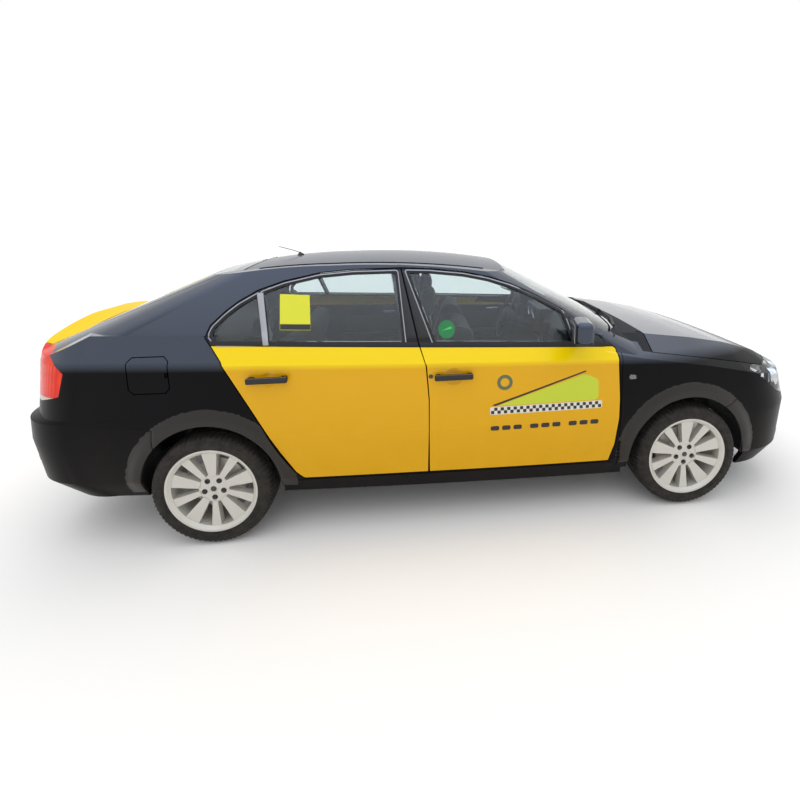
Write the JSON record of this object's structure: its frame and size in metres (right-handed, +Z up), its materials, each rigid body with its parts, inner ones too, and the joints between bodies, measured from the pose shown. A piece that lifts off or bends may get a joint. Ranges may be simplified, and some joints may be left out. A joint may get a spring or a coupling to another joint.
{
  "type": "taxi cab, four-door liftback saloon",
  "caption": "Black and yellow four-door liftback taxi cab with opening doors, bonnet, tailgate and fuel flap, steered front wheels and a full cabin.",
  "frame": {"origin": "on the ground under the middle of the overall length and width", "axes": "+X to the front of the car, +Y to its left, +Z up"},
  "size_m": [4.482, 2.003, 1.4623],
  "materials": {
    "black_paint": "gloss",
    "yellow_paint": "gloss",
    "underseal": "satin",
    "glass": "gloss",
    "lamp_clear": "gloss",
    "lamp_red": "gloss",
    "black_plastic": "satin",
    "seat_cloth": "matte",
    "alloy": "satin",
    "tyre_rubber": "matte",
    "chassis_steel": "satin",
    "cast_iron": "matte"
  },
  "bodies": {
    "body": {"body_side_left": "black_paint", "body_side_right": "black_paint", "dashboard": "black_plastic", "engine_block": "cast_iron", "exhaust": "chassis_steel", "firewall": "underseal", "floor": "underseal", "front_bumper": "black_paint", "front_frame": "underseal", "front_seats": "seat_cloth", "front_subframe": "chassis_steel", "grille": "black_plastic", "headlamps": "lamp_clear", "parcel_shelf": "black_plastic", "rear_axle": "chassis_steel", "rear_bench": "seat_cloth", "rear_bumper": "black_paint", "roof": "black_paint", "tail_lamps": "lamp_red", "windscreen": "glass", "wing_left": "black_paint", "wing_right": "black_paint", "wipers": "black_plastic"},
    "front_door_left": {"front_door_left": "yellow_paint", "front_door_glass_left": "glass", "mirror_left": "black_plastic"},
    "front_door_right": {"front_door_right": "yellow_paint", "front_door_glass_right": "glass", "mirror_right": "black_plastic"},
    "rear_door_left": {"rear_door_left": "yellow_paint", "rear_door_glass_left": "glass"},
    "rear_door_right": {"rear_door_right": "yellow_paint", "rear_door_glass_right": "glass"},
    "bonnet": {"bonnet": "black_paint"},
    "tailgate": {"tailgate": "yellow_paint", "tailgate_glass": "glass"},
    "fuel_flap": {"fuel_flap": "black_paint"},
    "knuckle_left": {"knuckle_left": "chassis_steel"},
    "knuckle_right": {"knuckle_right": "chassis_steel"},
    "wheel_front_left": {"rim_front_left": "alloy", "tyre_front_left": "tyre_rubber"},
    "wheel_front_right": {"rim_front_right": "alloy", "tyre_front_right": "tyre_rubber"},
    "wheel_rear_left": {"rim_rear_left": "alloy", "tyre_rear_left": "tyre_rubber"},
    "wheel_rear_right": {"rim_rear_right": "alloy", "tyre_rear_right": "tyre_rubber"},
    "steering_wheel": {"steering_wheel": "black_plastic"}
  },
  "joints": [
    {"name": "front_door_left_hinge", "type": "hinge", "parent": "body", "child": "front_door_left", "pos_m": [0.8997, 0.82535, 0.67], "axis": [0, 0, -1], "range_deg": [0, 65]},
    {"name": "rear_door_left_hinge", "type": "hinge", "parent": "body", "child": "rear_door_left", "pos_m": [-0.1533, 0.83777, 0.67], "axis": [0, 0, -1], "range_deg": [0, 65]},
    {"name": "front_door_right_hinge", "type": "hinge", "parent": "body", "child": "front_door_right", "pos_m": [0.8997, -0.82535, 0.67], "axis": [0, 0, 1], "range_deg": [0, 65]},
    {"name": "rear_door_right_hinge", "type": "hinge", "parent": "body", "child": "rear_door_right", "pos_m": [-0.1533, -0.83777, 0.67], "axis": [0, 0, 1], "range_deg": [0, 65]},
    {"name": "bonnet_hinge", "type": "hinge", "parent": "body", "child": "bonnet", "pos_m": [1.16, 0, 0.978], "axis": [0, -1, 0], "range_deg": [0, 50]},
    {"name": "tailgate_hinge", "type": "hinge", "parent": "body", "child": "tailgate", "pos_m": [-1.092, 0, 1.429], "axis": [0, 1, 0], "range_deg": [0, 70]},
    {"name": "fuel_flap_hinge", "type": "hinge", "parent": "body", "child": "fuel_flap", "pos_m": [-1.377, -0.826, 0.929], "axis": [0, 0, 1], "range_deg": [0, 85]},
    {"name": "steer_left", "type": "hinge", "parent": "body", "child": "knuckle_left", "pos_m": [1.38, 0.656, 0.205], "axis": [0, -0.2419, 0.9703], "range_deg": [-33, 33]},
    {"name": "wheel_front_left_spin", "type": "hinge", "parent": "knuckle_left", "child": "wheel_front_left", "pos_m": [1.38, 0.7285, 0.302], "axis": [0, 1, 0], "continuous": true},
    {"name": "wheel_rear_left_spin", "type": "hinge", "parent": "body", "child": "wheel_rear_left", "pos_m": [-1.222, 0.747, 0.302], "axis": [0, 1, 0], "continuous": true},
    {"name": "steer_right", "type": "hinge", "parent": "body", "child": "knuckle_right", "pos_m": [1.38, -0.656, 0.205], "axis": [0, 0.2419, 0.9703], "range_deg": [-33, 33]},
    {"name": "wheel_front_right_spin", "type": "hinge", "parent": "knuckle_right", "child": "wheel_front_right", "pos_m": [1.38, -0.7285, 0.302], "axis": [0, 1, 0], "continuous": true},
    {"name": "wheel_rear_right_spin", "type": "hinge", "parent": "body", "child": "wheel_rear_right", "pos_m": [-1.222, -0.747, 0.302], "axis": [0, 1, 0], "continuous": true},
    {"name": "steering_wheel_turn", "type": "hinge", "parent": "body", "child": "steering_wheel", "pos_m": [0.575, 0.355, 0.905], "axis": [-0.9135, 0, 0.4067], "range_deg": [-462, 462]}
  ],
  "couplings": [
    {"joint": "steer_right", "follows": "steer_left", "ratio": 1},
    {"joint": "steering_wheel_turn", "follows": "steer_left", "ratio": 14}
  ]
}
